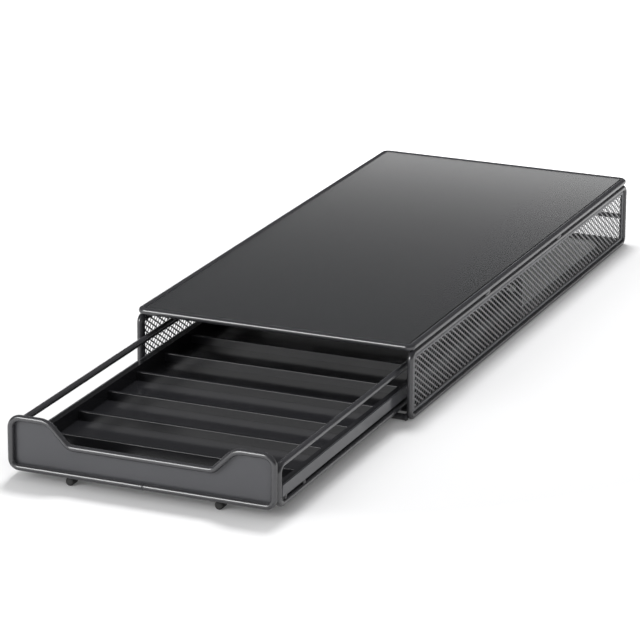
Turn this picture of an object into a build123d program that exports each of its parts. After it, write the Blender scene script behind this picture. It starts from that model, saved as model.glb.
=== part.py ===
"""Coffee pod drawer: a low case of round bar and steel mesh, with a drawer that slides out of it.

Millimetres. +X is to the right seen from the front, the drawer opens towards -Y, +Z is up.
The origin is the bottom centre of the whole part as it stands, with the drawer part way out.
"""

import os
from math import floor, sqrt

from build123d import *

os.makedirs("parts", exist_ok=True)

# ---------------------------------------------------------------- driving sizes of the case
case_width = 185.0
case_depth = 410.0
case_height = 48.6
case_bar = 4.0  # diameter of the bar of the side frames and of the floor bars
case_bar_bend = 4.0  # centre-line radius of the frames' corners
lid_wire = 4.3  # diameter of the ring of round wire that the lid's sheet lies in
lid_wire_bend = 3.2  # centre-line radius of the ring's corners
lid_sheet = 1.0
lid_drop = 0.5  # the sheet lies this far below the top of its ring
rear_middle_bar_size = 3.5
rear_middle_bar_height = 20.4
gusset_thickness = 1.2
gusset_width = 20.0
gusset_length = 36.0
runner_thickness = 1.2
runner_width = 9.0

# ---------------------------------------------------------------- driving sizes of the mesh
# The net's openings are diamonds. They are drawn here at twice the real pitch.
mesh_thickness = 0.8
mesh_hem = 2.6  # plain border of the sheet
mesh_pitch_long = 12.1
mesh_pitch_short = 7.6
mesh_strand = 1.5

# ---------------------------------------------------------------- driving sizes of the drawer
drawer_reach = 187.0  # how far the drawer's front stands out of the case, as it is stored
drawer_bar = 4.0
drawer_bar_bend = 5.0
drawer_side_gap = 3.15  # between the drawer's frames and the case's frames, on each side
drawer_frame_top = 33.3
rim_wire = 3.8
rim_bottom_height = 6.2
rim_inset = 0.5  # the rim ends this far inside the drawer's frames on each side
panel_top_height = 40.3
panel_thickness = 0.8
panel_dip_depth = 13.6
panel_dip_top_width = 117.7  # across the rim's centre line
panel_dip_bottom_width = 90.8
panel_bottom_radius = 5.0
panel_top_radius = 6.5
panel_dip_top_radius = 12.0
panel_dip_bottom_radius = 6.0

# ---------------------------------------------------------------- driving sizes of the tray
tray_sheet = 0.8
row_count = 10
row_pitch = 39.7
ridge_width = 2.2
ridge_height = 5.3  # above the tray's floor
ridge_edge_radius = 0.7
tray_wall_height = 8.4  # above the tray's floor
hem_reach = 0.6  # how far the hem reaches down past the upper end of the frames' bends
tray_bar_size = 3.0
tray_bar_count = 3
front_bar_setback = 17.0  # from the face of the rim to the centre of the drawer's front bar
pod_bar_height = 26.0
hook_wire = 3.0
hook_spacing = 120.0
hook_catch = 1.8  # how much of the hook stands behind the front wire of the lid's ring
hook_tail = 2.0  # how far the hook reaches below the rear bar's centre
glide_spacing = 94.4
glide_cap_size = 5.2
glide_cap_wall = 1.1
glide_cap_length = 6.4
glide_cap_tip_radius = 1.2
glide_stub_bend = 2.6

# ---------------------------------------------------------------- clearances
slide_gap = 0.5  # between the drawer's bars and what they slide on
weld_gap = 0.1  # between pieces that are welded or laid together
hook_slack = 0.5  # left between stop and bar at each end of the travel

# ---------------------------------------------------------------- places that follow
half_width = case_width / 2
drawer_length_behind_rim = tray_sheet + row_count * row_pitch + 2 * weld_gap
rim_face = -(case_depth + drawer_reach) / 2
case_front = rim_face + drawer_reach
case_back = case_front + case_depth

frame_bar_x = half_width - case_bar / 2
frame_inner_x = half_width - case_bar
frame_bend_end = case_bar / 2 + case_bar_bend  # from the frame's front or back
mesh_inner_x = frame_bar_x - mesh_thickness / 2
lid_ring_underside = case_height - lid_wire
frame_top = lid_ring_underside - weld_gap
runner_bottom = case_bar + weld_gap
runner_top = runner_bottom + runner_thickness

panel_front = rim_face + rim_wire
drawer_front = panel_front + panel_thickness
drawer_back = drawer_front + drawer_length_behind_rim
drawer_frame_width = case_width - 2 * (case_bar + drawer_side_gap)
panel_width = drawer_frame_width - 2 * rim_inset
drawer_floor_bar_height = runner_top + slide_gap + drawer_bar / 2
drawer_bar_x = (drawer_frame_width - drawer_bar) / 2
drawer_inner_x = drawer_bar_x - drawer_bar / 2
drawer_bar_top = drawer_floor_bar_height + drawer_bar / 2

tray_front = drawer_front + weld_gap
tray_back = tray_front + tray_sheet + row_count * row_pitch
tray_half_width = drawer_inner_x - 2 * weld_gap
tray_underside = drawer_bar_top + weld_gap
tray_floor_height = tray_underside + tray_sheet  # upper side of the floor above the counter
tray_top = tray_floor_height + tray_wall_height
ridge_lines = [tray_front + tray_sheet / 2 + row * row_pitch for row in range(1, row_count)]
hem_outer_x = drawer_bar_x + drawer_bar / 2 - 2 * weld_gap
hem_bottom = drawer_floor_bar_height + drawer_bar_bend - hem_reach
hem_start = drawer_front + drawer_bar + 2 * weld_gap
hem_end = drawer_back - (hem_start - drawer_front)

sides = {"left": -1, "right": 1}


def rounded_frame(bar_x, front, back, bottom, top, bar, bend):
    """Closed rectangle of round bar that stands lengthwise at bar_x, given by its outer faces."""
    with BuildPart() as frame:
        with BuildLine(Plane.YZ.offset(bar_x)):
            centre_line = FilletPolyline(
                (front + bar / 2, bottom + bar / 2),
                (back - bar / 2, bottom + bar / 2),
                (back - bar / 2, top - bar / 2),
                (front + bar / 2, top - bar / 2),
                radius=bend,
                close=True,
            )
        with BuildSketch(Plane(origin=centre_line @ 0, z_dir=centre_line % 0)):
            Circle(bar / 2)
        sweep()
    return frame.part


def cross_bar(y, height, size, half_length):
    """Straight round bar across the part, given by its centre."""
    with BuildPart() as bar:
        with BuildSketch(Plane.YZ):
            with Locations((y, height)):
                Circle(size / 2)
        extrude(amount=half_length, both=True)
    return bar.part


# ================================================================ case
with BuildPart() as lid_ring:
    ring_x = (case_width - lid_wire) / 2
    ring_front = case_front + lid_wire / 2
    ring_back = case_back - lid_wire / 2
    with BuildLine(Plane.XY.offset(case_height - lid_wire / 2)):
        ring_line = FilletPolyline(
            (-ring_x, ring_front),
            (ring_x, ring_front),
            (ring_x, ring_back),
            (-ring_x, ring_back),
            radius=lid_wire_bend,
            close=True,
        )
    with BuildSketch(Plane(origin=ring_line @ 0, z_dir=ring_line % 0)):
        Circle(lid_wire / 2)
    sweep()
lid_ring.part.label = "lid_ring"
export_step(lid_ring.part, "parts/lid_ring.step")

with BuildPart() as top_plate:
    # The sheet fills the ring, whose upper half stands round it as a low lip.
    with BuildSketch(Plane.XY.offset(case_height - lid_drop - lid_sheet)):
        with Locations((0, (case_front + case_back) / 2)):
            RectangleRounded(
                case_width - 2 * (lid_wire + weld_gap),
                case_depth - 2 * (lid_wire + weld_gap),
                lid_wire_bend - lid_wire / 2 - weld_gap,
            )
    extrude(amount=lid_sheet)
top_plate.part.label = "top_plate"
export_step(top_plate.part, "parts/top_plate.step")

front_floor_bar = cross_bar(case_front + case_bar / 2, case_bar / 2, case_bar, frame_inner_x)
front_floor_bar.label = "front_floor_bar"
export_step(front_floor_bar, "parts/front_floor_bar.step")

rear_floor_bar = cross_bar(case_back - case_bar / 2, case_bar / 2, case_bar, frame_inner_x)
rear_floor_bar.label = "rear_floor_bar"
export_step(rear_floor_bar, "parts/rear_floor_bar.step")

rear_middle_bar = cross_bar(
    case_back - case_bar / 2, rear_middle_bar_height, rear_middle_bar_size, frame_inner_x
)
rear_middle_bar.label = "rear_middle_bar"
export_step(rear_middle_bar, "parts/rear_middle_bar.step")

for side, sign in sides.items():
    side_frame = rounded_frame(
        sign * frame_bar_x, case_front, case_back, 0, frame_top, case_bar, case_bar_bend
    )
    side_frame.label = f"{side}_side_frame"
    export_step(side_frame, f"parts/{side}_side_frame.step")

# The sheet fills the frame. Its net is a staggered pattern of diamonds inside a plain hem.
sheet_length = case_depth - 2 * (case_bar + weld_gap)
sheet_height = frame_top - 2 * (case_bar + weld_gap)
net_length = sheet_length - 2 * mesh_hem
net_height = sheet_height - 2 * mesh_hem
net_columns = floor(net_length / mesh_pitch_long)
net_rows = floor(net_height / mesh_pitch_short)
gap_long = mesh_pitch_long - mesh_strand * sqrt(1 + (mesh_pitch_long / mesh_pitch_short) ** 2)
gap_short = gap_long * mesh_pitch_short / mesh_pitch_long

for side, sign in sides.items():
    with BuildPart() as side_mesh:
        sheet_plane = Plane.YZ.offset(min(sign * mesh_inner_x, sign * (mesh_inner_x + mesh_thickness)))
        with BuildSketch(sheet_plane):
            with Locations(((case_front + case_back) / 2, frame_top / 2)):
                RectangleRounded(sheet_length, sheet_height, case_bar_bend - case_bar / 2)
                with BuildLine(mode=Mode.PRIVATE) as gap_outline:
                    Polyline(
                        (-gap_long / 2, 0),
                        (0, -gap_short / 2),
                        (gap_long / 2, 0),
                        (0, gap_short / 2),
                        close=True,
                    )
                gap = make_face(gap_outline.edges(), mode=Mode.PRIVATE)
                with GridLocations(mesh_pitch_long, mesh_pitch_short, net_columns, net_rows):
                    add(gap, mode=Mode.SUBTRACT)
                with GridLocations(mesh_pitch_long, mesh_pitch_short, net_columns - 1, net_rows - 1):
                    add(gap, mode=Mode.SUBTRACT)
        extrude(amount=mesh_thickness)
    side_mesh.part.label = f"{side}_side_mesh"
    export_step(side_mesh.part, f"parts/{side}_side_mesh.step")

# Runners: flat strips that lie on the side frames' lower bars, beside the mesh and between the
# frames' bends. The drawer's bars slide on them.
for side, sign in sides.items():
    with BuildPart() as runner:
        runner_x = mesh_inner_x - weld_gap - runner_width / 2
        with BuildSketch(Plane.XY.offset(runner_bottom)):
            with Locations((sign * runner_x, (case_front + case_back) / 2)):
                Rectangle(runner_width, case_depth - 2 * (frame_bend_end + weld_gap))
        extrude(amount=runner_thickness)
    runner.part.label = f"{side}_runner"
    export_step(runner.part, f"parts/{side}_runner.step")

with BuildPart() as rear_gussets:
    gusset_back = case_back - case_bar
    with BuildSketch(Plane.XY.offset((case_bar - gusset_thickness) / 2)):
        with BuildLine():
            Polyline(
                (frame_inner_x, gusset_back),
                (frame_inner_x - gusset_width, gusset_back),
                (frame_inner_x, gusset_back - gusset_length),
                close=True,
            )
        make_face()
        mirror(about=Plane.YZ)
    extrude(amount=gusset_thickness)
rear_gussets.part.label = "rear_gussets"
export_step(rear_gussets.part, "parts/rear_gussets.step")

# ================================================================ drawer
rim_half_width = (panel_width - rim_wire) / 2
rim_bottom = rim_bottom_height + rim_wire / 2
rim_top = panel_top_height - rim_wire / 2
rim_dip = rim_top - panel_dip_depth
rim_corners = [
    (rim_half_width, rim_bottom),
    (rim_half_width, rim_top),
    (panel_dip_top_width / 2, rim_top),
    (panel_dip_bottom_width / 2, rim_dip),
    (-panel_dip_bottom_width / 2, rim_dip),
    (-panel_dip_top_width / 2, rim_top),
    (-rim_half_width, rim_top),
    (-rim_half_width, rim_bottom),
]
rim_radii = [
    panel_bottom_radius,
    panel_top_radius,
    panel_dip_top_radius,
    panel_dip_bottom_radius,
    panel_dip_bottom_radius,
    panel_dip_top_radius,
    panel_top_radius,
    panel_bottom_radius,
]

with BuildPart() as front_rim:
    with BuildLine(Plane.XZ.offset(-(rim_face + rim_wire / 2))):
        rim_line = FilletPolyline(*rim_corners, radius=rim_radii, close=True)
    with BuildSketch(Plane(origin=rim_line @ 0, z_dir=rim_line % 0)):
        Circle(rim_wire / 2)
    sweep()
front_rim.part.label = "front_rim"
export_step(front_rim.part, "parts/front_rim.step")

# The panel is welded to the back of the rim, so its edge follows the rim's centre line.
with BuildPart() as front_panel:
    with BuildSketch(Plane.XZ.offset(-panel_front)):
        with BuildLine():
            FilletPolyline(*rim_corners, radius=rim_radii, close=True)
        make_face()
    extrude(amount=-panel_thickness)
front_panel.part.label = "front_panel"
export_step(front_panel.part, "parts/front_panel.step")

for side, sign in sides.items():
    drawer_frame = rounded_frame(
        sign * drawer_bar_x,
        drawer_front,
        drawer_back,
        drawer_floor_bar_height - drawer_bar / 2,
        drawer_frame_top,
        drawer_bar,
        drawer_bar_bend,
    )
    drawer_frame.label = f"{side}_drawer_frame"
    export_step(drawer_frame, f"parts/{side}_drawer_frame.step")

with BuildPart() as pod_tray:
    # Floor with folded ridges between the rows, and an upright wall at each end.
    with BuildSketch(Plane.YZ):
        with Locations(((tray_front + tray_back) / 2, tray_underside)):
            Rectangle(tray_back - tray_front, tray_sheet, align=(Align.CENTER, Align.MIN))
        ridge_top = tray_floor_height + ridge_height
        with Locations(*[(y, tray_underside) for y in ridge_lines]):
            Rectangle(ridge_width, ridge_top - tray_underside, align=(Align.CENTER, Align.MIN))
        with Locations(*[(y, tray_underside) for y in ridge_lines]):
            Rectangle(
                ridge_width - 2 * tray_sheet,
                ridge_top - tray_underside - tray_sheet,
                align=(Align.CENTER, Align.MIN),
                mode=Mode.SUBTRACT,
            )
        for end in (tray_front + tray_sheet / 2, tray_back - tray_sheet / 2):
            with Locations((end, tray_underside)):
                Rectangle(tray_sheet, tray_top - tray_underside, align=(Align.CENTER, Align.MIN))
    extrude(amount=tray_half_width, both=True)
    ridge_edges = pod_tray.edges().filter_by(Axis.X).filter_by_position(Axis.Z, ridge_top, ridge_top)
    fillet(ridge_edges, ridge_edge_radius)
    # Side walls, folded outwards over the drawer frames' lower bars and down again as a hem.
    for sign in sides.values():
        with BuildSketch(Plane.YZ.offset(sign * (tray_half_width - tray_sheet / 2) - tray_sheet / 2)):
            with Locations(((tray_front + tray_back) / 2, tray_underside)):
                Rectangle(
                    tray_back - tray_front,
                    tray_top - tray_underside,
                    align=(Align.CENTER, Align.MIN),
                )
        extrude(amount=tray_sheet)
        with BuildSketch(Plane.XZ.offset(-hem_start)):
            with BuildLine():
                Polyline(
                    (sign * (tray_half_width - tray_sheet), tray_top),
                    (sign * hem_outer_x, tray_top),
                    (sign * hem_outer_x, hem_bottom),
                    (sign * (hem_outer_x - tray_sheet), hem_bottom),
                    (sign * (hem_outer_x - tray_sheet), tray_top - tray_sheet),
                    (sign * (tray_half_width - tray_sheet), tray_top - tray_sheet),
                    close=True,
                )
            make_face()
        extrude(amount=-(hem_end - hem_start))
pod_tray.part.label = "pod_tray"
export_step(pod_tray.part, "parts/pod_tray.step")

front_bar_y = rim_face + front_bar_setback
rear_bar_y = drawer_back - (front_bar_y - drawer_front)
tray_front_bar = cross_bar(front_bar_y, drawer_floor_bar_height, drawer_bar, drawer_inner_x)
tray_front_bar.label = "tray_front_bar"
export_step(tray_front_bar, "parts/tray_front_bar.step")

tray_rear_bar = cross_bar(rear_bar_y, drawer_floor_bar_height, drawer_bar, drawer_inner_x)
tray_rear_bar.label = "tray_rear_bar"
export_step(tray_rear_bar, "parts/tray_rear_bar.step")

with BuildPart() as tray_cross_bars:
    bar_spacing = (rear_bar_y - front_bar_y) / (tray_bar_count + 1)
    with BuildSketch(Plane.YZ):
        with Locations(
            ((front_bar_y + rear_bar_y) / 2, tray_underside - weld_gap - tray_bar_size / 2)
        ):
            with GridLocations(bar_spacing, 1, tray_bar_count, 1):
                Circle(tray_bar_size / 2)
    extrude(amount=drawer_inner_x, both=True)
tray_cross_bars.part.label = "tray_cross_bars"
export_step(tray_cross_bars.part, "parts/tray_cross_bars.step")

pod_bar_y = drawer_back - drawer_bar / 2
pod_rear_bar = cross_bar(pod_bar_y, pod_bar_height, drawer_bar, drawer_inner_x)
pod_rear_bar.label = "pod_rear_bar"
export_step(pod_rear_bar, "parts/pod_rear_bar.step")

with BuildPart() as stop_hooks:
    hook_bottom = pod_bar_height - hook_tail
    hook_top = lid_ring_underside + hook_catch
    hook_y = pod_bar_y + drawer_bar / 2 + hook_wire / 2
    with BuildSketch(Plane.XY.offset(hook_bottom)):
        with Locations((0, hook_y)):
            with GridLocations(hook_spacing, 1, 2, 1):
                Circle(hook_wire / 2)
    extrude(amount=hook_top - hook_bottom)
stop_hooks.part.label = "stop_hooks"
export_step(stop_hooks.part, "parts/stop_hooks.step")

# Each stub runs forward from the front bar, just above the counter, into its rubber cap.
glide_axis_height = glide_cap_size / 2
stub_wire = glide_cap_size - 2 * glide_cap_wall
stub_leg_y = front_bar_y - drawer_bar / 2 - stub_wire / 2
cap_front = drawer_front + weld_gap
cap_floor = glide_cap_wall  # thickness of the cap's closed end
with BuildPart() as glide_stubs:
    for sign in sides.values():
        with BuildLine(Plane.YZ.offset(sign * glide_spacing / 2)):
            stub_line = FilletPolyline(
                (cap_front + cap_floor + weld_gap, glide_axis_height),
                (stub_leg_y, glide_axis_height),
                (stub_leg_y, drawer_bar_top),
                radius=glide_stub_bend,
            )
        with BuildSketch(Plane(origin=stub_line @ 0, z_dir=stub_line % 0)):
            Circle(stub_wire / 2)
        sweep()
glide_stubs.part.label = "glide_stubs"
export_step(glide_stubs.part, "parts/glide_stubs.step")

with BuildPart() as glide_caps:
    with BuildSketch(Plane.XZ.offset(-cap_front)):
        with Locations((0, glide_axis_height)):
            with GridLocations(glide_spacing, 1, 2, 1):
                Circle(glide_cap_size / 2)
    extrude(amount=-glide_cap_length)
    fillet(glide_caps.edges().group_by(Axis.Y)[0], glide_cap_tip_radius)
    with BuildSketch(Plane.XZ.offset(-(cap_front + cap_floor))):
        with Locations((0, glide_axis_height)):
            with GridLocations(glide_spacing, 1, 2, 1):
                Circle(stub_wire / 2)
    extrude(amount=-(glide_cap_length - cap_floor), mode=Mode.SUBTRACT)
glide_caps.part.label = "glide_caps"
export_step(glide_caps.part, "parts/glide_caps.step")

# ---------------------------------------------------------------- travel of the drawer
stub_back = stub_leg_y + stub_wire / 2
closing_travel = case_front - stub_back - hook_slack
hook_front = hook_y - hook_wire / 2
opening_travel = hook_front - hook_slack - (case_front + lid_wire)
print(f"travel: closes by {closing_travel:.2f} mm, opens by {opening_travel:.2f} mm")
print(f"rim face y {rim_face:.2f}, case front y {case_front:.2f}, case back y {case_back:.2f}")
print(f"ridges at y {[round(y, 2) for y in ridge_lines]}")
print(f"gaps in each net: {net_columns * net_rows + (net_columns - 1) * (net_rows - 1)}")
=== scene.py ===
"""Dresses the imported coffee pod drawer: steel nets, welds, coated finishes, and the studio.

The sizes here are metres. +X is to the right seen from the front, the drawer opens towards -Y.
"""

import math

import bmesh
import bpy
from mathutils import Matrix, Vector, noise


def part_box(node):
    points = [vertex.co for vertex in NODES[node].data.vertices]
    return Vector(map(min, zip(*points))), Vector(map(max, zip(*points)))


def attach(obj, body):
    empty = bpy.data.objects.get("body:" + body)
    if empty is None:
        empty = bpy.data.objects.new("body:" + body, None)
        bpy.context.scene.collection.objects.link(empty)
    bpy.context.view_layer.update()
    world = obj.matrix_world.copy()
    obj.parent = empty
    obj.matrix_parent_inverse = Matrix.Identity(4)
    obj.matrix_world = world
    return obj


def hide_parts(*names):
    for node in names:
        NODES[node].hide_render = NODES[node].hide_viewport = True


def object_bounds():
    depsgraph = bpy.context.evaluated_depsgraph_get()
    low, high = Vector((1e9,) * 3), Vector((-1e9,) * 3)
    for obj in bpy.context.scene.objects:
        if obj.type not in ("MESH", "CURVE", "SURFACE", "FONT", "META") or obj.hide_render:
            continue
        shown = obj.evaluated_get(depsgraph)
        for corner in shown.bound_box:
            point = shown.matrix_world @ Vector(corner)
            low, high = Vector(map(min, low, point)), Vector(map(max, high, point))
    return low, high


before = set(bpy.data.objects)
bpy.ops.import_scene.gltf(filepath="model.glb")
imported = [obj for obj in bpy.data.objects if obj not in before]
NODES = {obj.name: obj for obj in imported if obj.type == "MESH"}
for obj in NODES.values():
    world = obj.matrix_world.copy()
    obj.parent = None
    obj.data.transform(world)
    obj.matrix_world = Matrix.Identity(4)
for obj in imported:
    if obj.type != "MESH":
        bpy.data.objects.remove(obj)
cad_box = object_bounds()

bl_info = {
    "name": "Coffee Pod Drawer",
    "version": (1, 0, 0),
    "blender": (4, 5, 0),
    "location": "View3D > Sidebar > Pod Drawer",
    "description": "Adds nets, welds, coated finishes and a studio to a coffee pod drawer",
    "category": "Object",
}

MM = 0.001
BAR_NODES = (
    "lid_ring",
    "front_floor_bar",
    "rear_floor_bar",
    "rear_middle_bar",
    "left_side_frame",
    "right_side_frame",
    "left_runner",
    "right_runner",
    "rear_gussets",
    "front_rim",
    "left_drawer_frame",
    "right_drawer_frame",
    "tray_front_bar",
    "tray_rear_bar",
    "tray_cross_bars",
    "pod_rear_bar",
    "stop_hooks",
    "glide_stubs",
)
SIDES = {"left": -1, "right": 1}


# ---------------------------------------------------------------- sizes and colours
class NetSizes(bpy.types.PropertyGroup):
    """The diamond net of expanded steel in each side of the case."""

    pitch_long: bpy.props.FloatProperty(
        name="Long pitch", description="From knuckle to knuckle along the case",
        default=6.05 * MM, unit="LENGTH",
    )
    pitch_short: bpy.props.FloatProperty(
        name="Short pitch", description="From knuckle to knuckle upwards",
        default=3.8 * MM, unit="LENGTH",
    )
    strand: bpy.props.FloatProperty(
        name="Strand", description="Width of a strand", default=0.85 * MM, unit="LENGTH"
    )
    sheet: bpy.props.FloatProperty(
        name="Sheet", description="Thickness of the steel", default=0.5 * MM, unit="LENGTH"
    )
    tilt: bpy.props.FloatProperty(
        name="Tilt", description="How far a strand's edges stand out of the net's plane",
        default=0.3 * MM, unit="LENGTH",
    )
    hem_end: bpy.props.FloatProperty(
        name="End hem", description="Width of the folded hem at front and rear",
        default=3.6 * MM, unit="LENGTH",
    )
    hem_side: bpy.props.FloatProperty(
        name="Side hem", description="Width of the folded hem at top and bottom",
        default=2.1 * MM, unit="LENGTH",
    )
    hem_thickness: bpy.props.FloatProperty(
        name="Hem thickness", description="Thickness of the folded hem",
        default=1.5 * MM, unit="LENGTH",
    )


class WeldSizes(bpy.types.PropertyGroup):
    """The small fillets and beads that join the bars."""

    reach: bpy.props.FloatProperty(
        name="Reach", description="How far a fillet runs along its bar",
        default=1.9 * MM, unit="LENGTH",
    )
    flare: bpy.props.FloatProperty(
        name="Flare", description="How much wider than its bar a fillet is at its foot",
        default=0.8 * MM, unit="LENGTH",
    )
    lump: bpy.props.FloatProperty(
        name="Lump", description="Unevenness of a weld", default=0.16 * MM, unit="LENGTH"
    )
    seam_width: bpy.props.FloatProperty(
        name="Seam width", description="Width of the butt weld that closes the rim's wire",
        default=1.1 * MM, unit="LENGTH",
    )
    seam_rise: bpy.props.FloatProperty(
        name="Seam rise", description="How far the butt weld stands out of the wire",
        default=0.14 * MM, unit="LENGTH",
    )


class FinishColours(bpy.types.PropertyGroup):
    """Colours of the coats and of the rubber. The lid, panel, bars and nets share one coat; the
    lid's colour is set darker as painted shade, the panel's and the nets' lighter as painted
    light.
    """

    # Painted shade: the lid's colour is set darker than the panel's and the bars', for the dim
    # light on its top.
    lid: bpy.props.FloatVectorProperty(
        name="Lid", description="Coat of the lid", subtype="COLOR",
        default=(0.022, 0.023, 0.025), min=0, max=1,
    )
    # Painted light: the panel's colour is set lighter than the lid's and the bars', for the
    # bright light on its front; the hems of the nets and of the tray take it too.
    panel: bpy.props.FloatVectorProperty(
        name="Panel", description="Coat of the front panel and of the hems", subtype="COLOR",
        default=(0.074, 0.075, 0.082), min=0, max=1,
    )
    bar: bpy.props.FloatVectorProperty(
        name="Bar", description="Coat of the bars and wires", subtype="COLOR",
        default=(0.042, 0.042, 0.046), min=0, max=1,
    )
    # Painted light: the nets' colour is set several times lighter than the bars', for the light
    # on them and the lit floor seen through them.
    net: bpy.props.FloatVectorProperty(
        name="Net", description="Coat of the nets", subtype="COLOR",
        default=(0.23, 0.23, 0.236), min=0, max=1,
    )
    tray: bpy.props.FloatVectorProperty(
        name="Tray", description="Gloss coat of the tray", subtype="COLOR",
        default=(0.016, 0.016, 0.018), min=0, max=1,
    )
    rubber: bpy.props.FloatVectorProperty(
        name="Rubber", description="Rubber of the glide caps", subtype="COLOR",
        default=(0.03, 0.03, 0.031), min=0, max=1,
    )


class StudioSettings(bpy.types.PropertyGroup):
    """Camera, floor and lamps."""

    camera_place: bpy.props.FloatVectorProperty(
        name="Camera", description="Where the camera stands", subtype="TRANSLATION",
        default=(0.83558, -2.00893, 0.7277),
    )
    camera_azimuth: bpy.props.FloatProperty(
        name="Azimuth", description="Turn of the camera about the vertical", subtype="ANGLE",
        default=math.radians(22.958),
    )
    camera_elevation: bpy.props.FloatProperty(
        name="Elevation", description="How far down the camera looks", subtype="ANGLE",
        default=math.radians(18.026),
    )
    camera_roll: bpy.props.FloatProperty(
        name="Roll", description="Turn of the camera about its own line of sight",
        subtype="ANGLE", default=math.radians(0.358),
    )
    lens: bpy.props.FloatProperty(
        name="Lens", description="Focal length", default=200.63, subtype="DISTANCE_CAMERA"
    )
    floor_colour: bpy.props.FloatVectorProperty(
        name="Floor", description="Colour of the floor", subtype="COLOR",
        default=(0.74, 0.74, 0.745), min=0, max=1,
    )
    overhead_power: bpy.props.FloatProperty(
        name="Overhead", description="Power of the overhead lamp", default=16.5
    )
    front_power: bpy.props.FloatProperty(
        name="Front", description="Power of the lamp at the front left, in reflections alone",
        default=50.0,
    )
    fill_power: bpy.props.FloatProperty(
        name="Fill", description="Power of the lamp at the front left, on matt surfaces alone",
        default=26.0,
    )
    card_power: bpy.props.FloatProperty(
        name="Card", description="Power of the low card whose reflection lights the lid's rear",
        default=1.15,
    )
    world_strength: bpy.props.FloatProperty(
        name="Surroundings", description="Light that comes from all round", default=0.5
    )
    dark_sky: bpy.props.FloatProperty(
        name="Dark sky", description="How bright the upper surroundings look in reflections",
        default=0.05,
    )


class DrawerSettings(bpy.types.PropertyGroup):
    """Everything that a user would change."""

    net: bpy.props.PointerProperty(type=NetSizes)
    weld: bpy.props.PointerProperty(type=WeldSizes)
    colours: bpy.props.PointerProperty(type=FinishColours)
    studio: bpy.props.PointerProperty(type=StudioSettings)


def settings():
    return bpy.context.scene.pod_drawer


# ---------------------------------------------------------------- making objects
def object_from(name, bm, material, body):
    """Turns a bmesh into a smooth-shaded piece that rides on a body, inside the part's box."""
    low, high = cad_box
    for vertex in bm.verts:
        vertex.co = [min(max(at, a), b) for at, a, b in zip(vertex.co, low, high)]
    data = bpy.data.meshes.new(name)
    bmesh.ops.recalc_face_normals(bm, faces=bm.faces)
    bm.to_mesh(data)
    bm.free()
    data.shade_smooth()
    piece = bpy.data.objects.new(name, data)
    bpy.context.scene.collection.objects.link(piece)
    data.materials.append(material)
    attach(piece, body)
    return piece


def add_ring_strip(bm, rings, closed_ends=True):
    """Skins rings of vertices, each ring a list of points, into a tube."""
    loops = [[bm.verts.new(point) for point in ring] for ring in rings]
    count = len(loops[0])
    for near, far in zip(loops, loops[1:]):
        for i in range(count):
            j = (i + 1) % count
            bm.faces.new((near[i], near[j], far[j], far[i]))
    if closed_ends:
        bm.faces.new(loops[0])
        bm.faces.new(reversed(loops[-1]))


LATHE_LUMP = 1.3 * MM  # how far apart the lumps of a turned piece and of a bead lie
BEAD_LUMP = 0.6 * MM


def add_lathe(bm, start, direction, profile, lump=0.0, sides=20):
    """Turns a profile of (distance, radius) pairs about a line, with an uneven skin."""
    turn = direction.to_track_quat("Z", "Y")
    rings = []
    for distance, radius in profile:
        ring = []
        for k in range(sides):
            angle = 2 * math.pi * k / sides
            spoke = Vector((math.cos(angle), math.sin(angle), 0))
            point = start + turn @ (spoke * radius + Vector((0, 0, distance)))
            swell = lump * noise.noise(point / LATHE_LUMP)
            ring.append(point + turn @ (spoke * swell))
        rings.append(ring)
    add_ring_strip(bm, rings)


def weld_fillet(bm, foot, direction, bar_radius):
    """A concave fillet round the end of a bar, from its foot along the bar."""
    sizes = settings().weld
    steps = 6
    profile = [(-0.5 * MM, bar_radius)]
    for k in range(steps + 1):
        share = k / steps
        profile.append((share * sizes.reach, bar_radius + sizes.flare * (1 - share) ** 2))
    profile.append((sizes.reach + 0.2 * MM, bar_radius - 0.15 * MM))
    add_lathe(bm, foot, direction, profile, sizes.lump)


def weld_bead(bm, place, half_size, seed=0):
    """A small uneven lump of weld, given by its three half sizes."""
    lump = settings().weld.lump
    made = bmesh.ops.create_icosphere(bm, subdivisions=3, radius=1.0)
    for vertex in made["verts"]:
        unit = vertex.co.copy()
        swell = 1 + 0.18 * noise.noise(unit * 1.7 + Vector((seed, 0, 0)))
        vertex.co = place + Vector(u * s for u, s in zip(unit * swell, half_size))
        vertex.co += unit * lump * 0.5 * noise.noise(vertex.co / BEAD_LUMP)


# ---------------------------------------------------------------- finishes
def new_material(name):
    material = bpy.data.materials.new(name)
    material.use_nodes = True
    tree = material.node_tree
    return material, tree, tree.nodes["Principled BSDF"]


def noise_at(tree, scale, detail=2.0, roughness=0.5):
    """Noise in the part's own metres, so that it doesn't slide or stretch."""
    place = tree.nodes.get("Place") or tree.nodes.new("ShaderNodeTexCoord")
    place.name = "Place"
    texture = tree.nodes.new("ShaderNodeTexNoise")
    texture.inputs["Scale"].default_value = scale
    texture.inputs["Detail"].default_value = detail
    texture.inputs["Roughness"].default_value = roughness
    tree.links.new(place.outputs["Object"], texture.inputs["Vector"])
    return texture.outputs["Fac"]


def spread(tree, value, low, high, from_low=0.3, from_high=0.7):
    """Maps a value from one range to another."""
    node = tree.nodes.new("ShaderNodeMapRange")
    node.inputs["From Min"].default_value = from_low
    node.inputs["From Max"].default_value = from_high
    node.inputs["To Min"].default_value = low
    node.inputs["To Max"].default_value = high
    tree.links.new(value, node.inputs["Value"])
    return node.outputs["Result"]


def mixed_colour(tree, share, first, second):
    """Mixes two colours; the first may also be another node's output."""
    node = tree.nodes.new("ShaderNodeMix")
    node.data_type = "RGBA"
    if isinstance(first, bpy.types.NodeSocket):
        tree.links.new(first, node.inputs["A"])
    else:
        node.inputs["A"].default_value = (*first, 1)
    node.inputs["B"].default_value = (*second, 1)
    tree.links.new(share, node.inputs["Factor"])
    return node.outputs["Result"]


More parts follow.
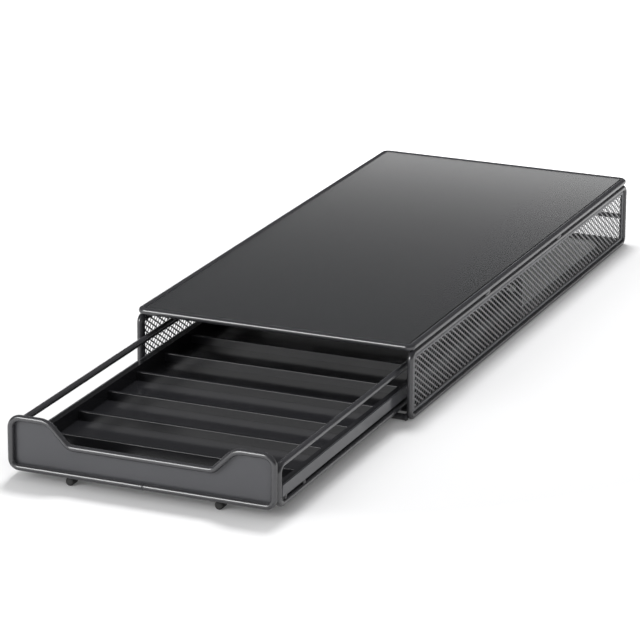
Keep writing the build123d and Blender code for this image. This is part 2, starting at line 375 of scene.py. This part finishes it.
def added_bump(tree, shader, height, strength, distance, after=None):
    """Bumps the surface by a noise value, on top of an earlier bump if one is given."""
    node = tree.nodes.new("ShaderNodeBump")
    node.inputs["Strength"].default_value = strength
    node.inputs["Distance"].default_value = distance
    tree.links.new(height, node.inputs["Height"])
    if after is not None:
        tree.links.new(after, node.inputs["Normal"])
    tree.links.new(node.outputs["Normal"], shader.inputs["Normal"])
    return node.outputs["Normal"]


def scaled(colour, factor):
    return tuple(min(1.0, channel * factor) for channel in colour)


# Scales of the noises, in cells to the metre: powder coat, enamel and rubber
CLOUD, RUB, SPECK, GRAIN, PEEL = 22.0, 60.0, 2600.0, 1500.0, 330.0
DUST, SMEAR, RIPPLE = 900.0, 45.0, 260.0
SCUFF, SHEEN, PITS = 500.0, 900.0, 2400.0
GRAIN_HEIGHT = 0.02 * MM
PEEL_HEIGHT = 0.03 * MM
HEM_EDGE = (1.3 * MM, 1.1 * MM)  # where the tray's hem begins, in from its outer face


def powder_coat(name, colour, roughness, grain, peel, specular=0.5, patches=1.0):
    """Baked powder coat: fine grain, a faint orange peel and uneven colour and gloss."""
    material, tree, shader = new_material(name)
    tone = spread(tree, noise_at(tree, CLOUD, 3.0), 0.0, 1.0, 0.35, 0.65)
    uneven = 0.06 * patches
    base = mixed_colour(tree, tone, scaled(colour, 1 - uneven), scaled(colour, 1 + uneven))
    dots = spread(tree, noise_at(tree, SPECK, 1.0), 0.0, 0.35 * patches, 0.55, 0.8)
    flecked = mixed_colour(tree, dots, base, scaled(colour, 1.5))
    tree.links.new(flecked, shader.inputs["Base Color"])
    smooth, dull = roughness * (1 - 0.08 * patches), roughness * (1 + 0.1 * patches)
    gloss = spread(tree, noise_at(tree, RUB, 4.0, 0.6), smooth, dull)
    tree.links.new(gloss, shader.inputs["Roughness"])
    first = added_bump(tree, shader, noise_at(tree, GRAIN, 2.0), grain, GRAIN_HEIGHT)
    added_bump(tree, shader, noise_at(tree, PEEL, 1.0), peel, PEEL_HEIGHT, first)
    shader.inputs["Specular IOR Level"].default_value = specular
    shader.inputs["IOR"].default_value = 1.5
    return material


def tray_gloss(name, colour):
    """Wet-looking black enamel with faint dust; the outer hem has the panel's colour."""
    material, tree, shader = new_material(name)
    dust = spread(tree, noise_at(tree, DUST, 3.0), 0.0, 0.06, 0.55, 0.8)
    base = mixed_colour(tree, dust, colour, scaled(colour, 5.0))
    parts = tree.nodes.new("ShaderNodeSeparateXYZ")
    tree.links.new(tree.nodes["Place"].outputs["Object"], parts.inputs["Vector"])
    outward = tree.nodes.new("ShaderNodeMath")
    outward.operation = "ABSOLUTE"
    tree.links.new(parts.outputs["X"], outward.inputs[0])
    outer_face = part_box("pod_tray")[1].x
    edge = [outer_face - depth for depth in HEM_EDGE]
    hem = spread(tree, outward.outputs[0], 0.0, 1.0, *edge)
    # The tray's hem takes the panel's colour with its painted light.
    both = mixed_colour(tree, hem, base, settings().colours.panel)
    tree.links.new(both, shader.inputs["Base Color"])
    gloss = spread(tree, noise_at(tree, SMEAR, 4.0), 0.15, 0.19)
    tree.links.new(gloss, shader.inputs["Roughness"])
    shader.inputs["Specular IOR Level"].default_value = 0.3
    added_bump(tree, shader, noise_at(tree, RIPPLE, 1.0), 0.05, PEEL_HEIGHT)
    return material


def moulded_rubber(name, colour):
    """Matt rubber with a fine pitted skin and scuffed high spots."""
    material, tree, shader = new_material(name)
    scuff = spread(tree, noise_at(tree, SCUFF, 4.0, 0.7), 0.0, 0.6, 0.5, 0.75)
    base = mixed_colour(tree, scuff, colour, scaled(colour, 1.9))
    tree.links.new(base, shader.inputs["Base Color"])
    gloss = spread(tree, noise_at(tree, SHEEN, 2.0), 0.55, 0.75)
    tree.links.new(gloss, shader.inputs["Roughness"])
    added_bump(tree, shader, noise_at(tree, PITS, 3.0), 0.5, PEEL_HEIGHT)
    return material


def finish(name):
    """The finish of that name, made once."""
    if name in bpy.data.materials:
        return bpy.data.materials[name]
    colours = settings().colours
    # Maker, colour, and for a powder coat its roughness, grain, peel, specular and patches
    maker, colour, values = {
        # The lid's colour carries painted shade, the panel's and the nets' painted light.
        "lid_coat": (powder_coat, colours.lid, (0.27, 0.0, 0.0, 0.5, 0.1)),
        "panel_coat": (powder_coat, colours.panel, (0.3, 0.1, 0.05, 0.5, 0.5)),
        "bar_coat": (powder_coat, colours.bar, (0.24, 0.2, 0.12, 0.8)),
        "net_coat": (powder_coat, colours.net, (0.4, 0.3, 0.2)),
        "weld_coat": (powder_coat, scaled(colours.bar, 0.9), (0.3, 0.5, 0.6)),
        "tray_enamel": (tray_gloss, colours.tray, ()),
        "glide_rubber": (moulded_rubber, colours.rubber, ()),
    }[name]
    return maker(name, colour, *values)


def coat_node(node_name, material_name):
    """Gives a carried-over node its finish."""
    node = NODES[node_name]
    if not node.material_slots:
        node.data.materials.append(None)
    for slot in node.material_slots:
        slot.link = "OBJECT"
        slot.material = finish(material_name)


# ---------------------------------------------------------------- nets
def rounded_rectangle(low, high, radius, steps=6):
    """Points round a rectangle in the plane of the net, as (along, up) pairs."""
    corners = [
        (high[0] - radius, high[1] - radius, 0),
        (low[0] + radius, high[1] - radius, 90),
        (low[0] + radius, low[1] + radius, 180),
        (high[0] - radius, low[1] + radius, 270),
    ]
    points = []
    for along, up, first in corners:
        for k in range(steps + 1):
            angle = math.radians(first + 90 * k / steps)
            points.append((along + radius * math.cos(angle), up + radius * math.sin(angle)))
    return points


def add_net(bm, x, low, high, sizes):
    """Strands and knuckles of expanded steel between two corners, each (along, up)."""
    half_long, half_short = sizes.pitch_long / 2, sizes.pitch_short / 2
    slant = math.hypot(half_long, half_short)
    knuckle_long = sizes.strand * slant / (2 * half_short)
    knuckle_short = sizes.strand * slant / (2 * half_long)
    middle = ((low[0] + high[0]) / 2, (low[1] + high[1]) / 2)
    columns = int((high[0] - low[0]) / 2 / half_long)
    rows = int((high[1] - low[1]) / 2 / half_short)
    offsets = {
        "E": (knuckle_long, 0, 0),
        "W": (-knuckle_long, 0, 0),
        "N": (0, knuckle_short, sizes.tilt),
        "S": (0, -knuckle_short, -sizes.tilt),
    }
    knots = {}
    for i in range(-columns, columns + 1):
        for j in range(-rows, rows + 1):
            if (i + j) % 2:
                continue
            along, up = middle[0] + i * half_long, middle[1] + j * half_short
            knots[i, j] = {
                key: bm.verts.new((x + out, along + da, up + du))
                for key, (da, du, out) in offsets.items()
            }
    for (i, j), knot in knots.items():
        bm.faces.new([knot[key] for key in "ENWS"])
        above, below = knots.get((i + 1, j + 1)), knots.get((i + 1, j - 1))
        if above:
            bm.faces.new((knot["E"], above["S"], above["W"], knot["N"]))
        if below:
            bm.faces.new((knot["S"], below["W"], below["N"], knot["E"]))
    return list(bm.faces)


def add_hem(bm, x, low, high, sizes, corner):
    """The folded hem round the net: a flat ring with softened edges."""
    half = sizes.hem_thickness / 2
    soft = 0.3 * MM
    inner_low = (low[0] + sizes.hem_end, low[1] + sizes.hem_side)
    inner_high = (high[0] - sizes.hem_end, high[1] - sizes.hem_side)

    def ring(grow, out):
        """A closed line round the hem's outer edge, let out by grow or drawn in."""
        start, end = (low[0] - grow, low[1] - grow), (high[0] + grow, high[1] + grow)
        return [(x + out, a, u) for a, u in rounded_rectangle(start, end, corner + grow)]

    def inner_ring(grow, out):
        """The same round its inner edge."""
        start = (inner_low[0] - grow, inner_low[1] - grow)
        end = (inner_high[0] + grow, inner_high[1] + grow)
        return [(x + out, a, u) for a, u in rounded_rectangle(start, end, corner / 2 + grow)]

    rings = [
        ring(-soft, half),
        ring(0, half - soft),
        ring(0, soft - half),
        ring(-soft, -half),
        inner_ring(soft, -half),
        inner_ring(0, soft - half),
        inner_ring(0, half - soft),
        inner_ring(soft, half),
        ring(-soft, half),
    ]
    add_ring_strip(bm, rings, closed_ends=False)


NET_TUCK = 0.6 * MM  # how far the net reaches into its hem's edge
HEM_CORNER = 2 * MM


class DRAWER_OT_nets(bpy.types.Operator):
    """Make the fine diamond net and its hem in each side of the case"""

    bl_idname = "pod_drawer.nets"
    bl_label = "Side nets"

    def execute(self, context):
        sizes = settings().net
        for side in SIDES:
            node = f"{side}_side_mesh"
            low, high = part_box(node)
            x = (low.x + high.x) / 2
            bm = bmesh.new()
            start = (low.y + NET_TUCK, low.z + NET_TUCK)
            end = (high.y - NET_TUCK, high.z - NET_TUCK)
            faces = add_net(bm, x, start, end, sizes)
            bmesh.ops.recalc_face_normals(bm, faces=faces)
            bmesh.ops.solidify(bm, geom=faces, thickness=sizes.sheet)
            # The net's finish is lightened as painted light.
            piece = object_from(f"{side}_net", bm, finish("net_coat"), "case")
            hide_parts(node)

            bm = bmesh.new()
            add_hem(bm, x, (low.y, low.z), (high.y, high.z), sizes, HEM_CORNER)
            bmesh.ops.remove_doubles(bm, verts=bm.verts, dist=0.001 * MM)
            # The hem takes the panel's finish with its painted light.
            object_from(f"{side}_net_hem", bm, finish("panel_coat"), "case")
        return {"FINISHED"}


# ---------------------------------------------------------------- welds
JOINT_INSET = 0.9 * MM  # how far inside the bars' outer faces the beads lie
LID_JOINTS = (0.32, 0.65)  # where the lid is welded on, as shares of its length
LID_BEAD = (0.75 * MM, 4.6 * MM, 1.3 * MM)
LID_DROP = (0.85 * MM, 1.1 * MM, 0.9 * MM)
LID_BEAD_RISE, LID_DROP_RISE, LID_DROP_SHIFT = 0.1 * MM, 1.9 * MM, 3.4 * MM
HEM_JOINTS = (4.6, 9.5, 36.0, 358.0, 385.0)  # mm behind the drawer frames' front
HEM_BEAD = (0.8 * MM, 1.5 * MM, 1.7 * MM)
HEM_BEAD_RISE = 1.2 * MM
SEAM_X = 1.5 * MM  # the butt weld of the rim's wire, right of the middle


class DRAWER_OT_case_welds(bpy.types.Operator):
    """Make the weld fillets at the ends of the case's cross bars and under the lid"""

    bl_idname = "pod_drawer.case_welds"
    bl_label = "Case welds"

    def execute(self, context):
        bm = bmesh.new()
        for name in ("front_floor_bar", "rear_floor_bar", "rear_middle_bar"):
            low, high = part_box(name)
            middle = (low + high) / 2
            for sign in SIDES.values():
                foot = Vector((sign * high.x, middle.y, middle.z))
                weld_fillet(bm, foot, Vector((-sign, 0, 0)), (high.z - low.z) / 2)
        frame_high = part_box("right_side_frame")[1]
        ring_low, ring_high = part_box("lid_ring")
        joint_x = ring_high.x - JOINT_INSET
        for sign in SIDES.values():
            for seed, share in enumerate(LID_JOINTS):
                y = ring_low.y + share * (ring_high.y - ring_low.y)
                place = Vector((sign * joint_x, y, frame_high.z + LID_BEAD_RISE))
                weld_bead(bm, place, LID_BEAD, seed=3 * sign + seed)
                drop = place + Vector((0, LID_DROP_SHIFT, LID_DROP_RISE - LID_BEAD_RISE))
                weld_bead(bm, drop, LID_DROP, seed=5 * sign + seed)
        object_from("case_welds", bm, finish("weld_coat"), "case")
        return {"FINISHED"}


class DRAWER_OT_drawer_welds(bpy.types.Operator):
    """Make the welds of the drawer's bars, rim and tray"""

    bl_idname = "pod_drawer.drawer_welds"
    bl_label = "Drawer welds"

    def execute(self, context):
        sizes = settings().weld
        bm = bmesh.new()
        for name in ("tray_front_bar", "tray_rear_bar", "pod_rear_bar"):
            low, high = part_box(name)
            middle = (low + high) / 2
            for sign in SIDES.values():
                foot = Vector((sign * high.x, middle.y, middle.z))
                weld_fillet(bm, foot, Vector((-sign, 0, 0)), (high.z - low.z) / 2)
        frame_low, frame_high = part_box("right_drawer_frame")
        hem_x = frame_high.x - JOINT_INSET
        wire = frame_high.x - frame_low.x
        for sign in SIDES.values():
            for seed, setback in enumerate(HEM_JOINTS):
                place = Vector((sign * hem_x, frame_low.y + setback * MM, frame_low.z + wire))
                place.z += HEM_BEAD_RISE
                weld_bead(bm, place, HEM_BEAD, seed=7 * sign + seed)
        object_from("drawer_welds", bm, finish("weld_coat"), "drawer")

        bm = bmesh.new()
        low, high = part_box("front_rim")
        wire_radius = (high.y - low.y) / 2
        half = sizes.seam_width / 2
        slope, crown = 0.3 * sizes.seam_rise, sizes.seam_rise
        sunk = -0.1 * MM
        shares = (0, sunk), (0.15, slope), (0.6, crown), (1.4, crown), (1.85, slope), (2, sunk)
        profile = [(share * half, wire_radius + rise) for share, rise in shares]
        foot = Vector((SEAM_X - half, (low.y + high.y) / 2, low.z + wire_radius))
        add_lathe(bm, foot, Vector((1, 0, 0)), profile, 0.25 * sizes.lump, sides=28)
        object_from("rim_seam", bm, finish("weld_coat"), "drawer")
        return {"FINISHED"}


# ---------------------------------------------------------------- finishes of the CAD nodes
class DRAWER_OT_finishes(bpy.types.Operator):
    """Coat the lid, panel, bars, tray and glide caps"""

    bl_idname = "pod_drawer.finishes"
    bl_label = "Finishes"

    def execute(self, context):
        for name in BAR_NODES:
            coat_node(name, "bar_coat")
        # The lid's and the panel's finishes are one coat at two brightnesses: painted shade on
        # the lid, painted light on the panel.
        coat_node("top_plate", "lid_coat")
        coat_node("front_panel", "panel_coat")
        coat_node("pod_tray", "tray_enamel")
        coat_node("glide_caps", "glide_rubber")
        for side in SIDES:
            coat_node(f"{side}_side_mesh", "net_coat")
        return {"FINISHED"}


# ---------------------------------------------------------------- studio
# Place, target and size of each lamp
OVERHEAD = (-0.14, 0.42, 1.4), (0, 0, 0), (0.4, 0.4)
FRONT = (-1.0, -2.1, 1.05), (0, -0.15, 0.02), (1.3, 1.0)
CARD = (-0.2, 0.56, 0.07), (-0.2, 0, 0.07), (1.4, 0.14)
FLOOR_GLOW = 0.08, 0.95  # near the object and far from it
FLOOR_GLOW_SPAN = 0.29, 0.6  # the distances between which it grows
SKY_SPAN = 0.02, 0.13  # how far up the bright horizon ends, as the height of a direction


def softbox(name, place, target, size, power):
    """A rectangular lamp that the camera doesn't see."""
    lamp = bpy.data.lights.new(name, "AREA")
    lamp.shape = "RECTANGLE"
    lamp.size, lamp.size_y = size
    lamp.energy = power
    holder = bpy.data.objects.new(name, lamp)
    bpy.context.scene.collection.objects.link(holder)
    holder.location = place
    direction = Vector(target) - Vector(place)
    holder.rotation_euler = direction.to_track_quat("-Z", "Y").to_euler()
    holder.visible_camera = False
    return holder


def seen_rays(tree):
    """1 for rays that show the floor straight, in a reflection or through a surface."""
    path = tree.nodes.new("ShaderNodeLightPath")
    total = path.outputs["Is Camera Ray"]
    for name in ("Is Glossy Ray", "Is Transmission Ray"):
        add = tree.nodes.new("ShaderNodeMath")
        add.operation = "ADD"
        add.use_clamp = True
        tree.links.new(total, add.inputs[0])
        tree.links.new(path.outputs[name], add.inputs[1])
        total = add.outputs[0]
    return total


def floor_material(colour):
    """Pale floor that turns to plain white away from the object, as seen by the camera."""
    material = bpy.data.materials.new("studio_floor")
    material.use_nodes = True
    tree = material.node_tree
    tree.nodes.clear()
    output = tree.nodes.new("ShaderNodeOutputMaterial")
    diffuse = tree.nodes.new("ShaderNodeBsdfDiffuse")
    diffuse.inputs["Color"].default_value = (*colour, 1)
    glow = tree.nodes.new("ShaderNodeEmission")
    place = tree.nodes.new("ShaderNodeTexCoord")
    distance = tree.nodes.new("ShaderNodeVectorMath")
    distance.operation = "LENGTH"
    tree.links.new(place.outputs["Object"], distance.inputs[0])
    far = spread(tree, distance.outputs["Value"], *FLOOR_GLOW, *FLOOR_GLOW_SPAN)
    strength = tree.nodes.new("ShaderNodeMath")
    strength.operation = "MULTIPLY"
    tree.links.new(far, strength.inputs[0])
    tree.links.new(seen_rays(tree), strength.inputs[1])
    tree.links.new(strength.outputs[0], glow.inputs["Strength"])
    add = tree.nodes.new("ShaderNodeAddShader")
    tree.links.new(diffuse.outputs[0], add.inputs[0])
    tree.links.new(glow.outputs[0], add.inputs[1])
    tree.links.new(add.outputs[0], output.inputs["Surface"])
    return material


def studio_world(studio):
    """White behind everything, but dark overhead in reflections, as between dark flats."""
    world = bpy.data.worlds.new("studio_world")
    world.use_nodes = True
    tree = world.node_tree
    background = tree.nodes["Background"]
    background.inputs["Color"].default_value = (1, 1, 1, 1)
    path = tree.nodes.new("ShaderNodeLightPath")
    place = tree.nodes.new("ShaderNodeTexCoord")
    parts = tree.nodes.new("ShaderNodeSeparateXYZ")
    tree.links.new(place.outputs["Generated"], parts.inputs["Vector"])
    sky = spread(tree, parts.outputs["Z"], 1.0, studio.dark_sky, *SKY_SPAN)

    strength = None
    for ray in ("Is Glossy Ray", "Is Transmission Ray", "Is Camera Ray"):
        mix = tree.nodes.new("ShaderNodeMix")
        if strength is None:
            mix.inputs["A"].default_value = studio.world_strength
            tree.links.new(sky, mix.inputs["B"])
        else:
            tree.links.new(strength, mix.inputs["A"])
            mix.inputs["B"].default_value = 1.0
        tree.links.new(path.outputs[ray], mix.inputs["Factor"])
        strength = mix.outputs["Result"]
    tree.links.new(strength, background.inputs["Strength"])
    return world


def add_floor(colour):
    bm = bmesh.new()
    bmesh.ops.create_grid(bm, x_segments=2, y_segments=2, size=8.0)
    data = bpy.data.meshes.new("studio_floor")
    bm.to_mesh(data)
    bm.free()
    floor = bpy.data.objects.new("studio_floor", data)
    bpy.context.scene.collection.objects.link(floor)
    floor.location.z = cad_box[0].z
    data.materials.append(floor_material(colour))


def add_lamps(studio):
    """An overhead lamp, one at the front left in two shares, and a card for the lid alone."""
    softbox("overhead", *OVERHEAD, studio.overhead_power).visible_glossy = False
    softbox("front", *FRONT, studio.front_power).visible_diffuse = False
    softbox("fill", *FRONT, studio.fill_power).visible_glossy = False
    card = softbox("card", *CARD, studio.card_power)
    card.visible_diffuse = False
    lid_only = bpy.data.collections.new("lid_only")
    lid_only.objects.link(NODES["top_plate"])
    card.light_linking.receiver_collection = lid_only


def add_camera(studio):
    lens = bpy.data.cameras.new("studio_camera")
    lens.lens = studio.lens
    camera = bpy.data.objects.new("studio_camera", lens)
    bpy.context.scene.collection.objects.link(camera)
    camera.location = studio.camera_place
    turn = Matrix.Rotation(studio.camera_azimuth, 3, "Z")
    tilt = Matrix.Rotation(math.pi / 2 - studio.camera_elevation, 3, "X")
    roll = Matrix.Rotation(studio.camera_roll, 3, "Z")
    camera.rotation_euler = (turn @ tilt @ roll).to_euler()
    bpy.context.scene.camera = camera


class DRAWER_OT_studio(bpy.types.Operator):
    """Make the pale floor, the soft lamps and the camera"""

    bl_idname = "pod_drawer.studio"
    bl_label = "Studio"

    def execute(self, context):
        studio = settings().studio
        context.scene.view_settings.view_transform = "Standard"
        add_floor(studio.floor_colour)
        add_lamps(studio)
        context.scene.world = studio_world(studio)
        add_camera(studio)
        return {"FINISHED"}


# ---------------------------------------------------------------- panel and registration
OPERATORS = (
    DRAWER_OT_studio,
    DRAWER_OT_finishes,
    DRAWER_OT_nets,
    DRAWER_OT_case_welds,
    DRAWER_OT_drawer_welds,
)


class DRAWER_PT_panel(bpy.types.Panel):
    """Lists the steps that dress the drawer"""

    bl_idname = "DRAWER_PT_panel"
    bl_label = "Coffee Pod Drawer"
    bl_space_type = "VIEW_3D"
    bl_region_type = "UI"
    bl_category = "Pod Drawer"

    def draw(self, context):
        for operator in OPERATORS:
            self.layout.operator(operator.bl_idname)
        for group in ("net", "weld", "colours", "studio"):
            box = self.layout.box()
            values = getattr(context.scene.pod_drawer, group)
            for name in values.bl_rna.properties.keys():
                if name not in {"rna_type", "name"}:
                    box.prop(values, name)


CLASSES = (
    NetSizes,
    WeldSizes,
    FinishColours,
    StudioSettings,
    DrawerSettings,
    *OPERATORS,
    DRAWER_PT_panel,
)


def register():
    for cls in CLASSES:
        bpy.utils.register_class(cls)
    bpy.types.Scene.pod_drawer = bpy.props.PointerProperty(type=DrawerSettings)


def unregister():
    del bpy.types.Scene.pod_drawer
    for cls in reversed(CLASSES):
        bpy.utils.unregister_class(cls)


def main():
    register()
    for operator in OPERATORS:
        group, name = operator.bl_idname.split(".")
        getattr(getattr(bpy.ops, group), name)()


if __name__ == "__main__":
    main()
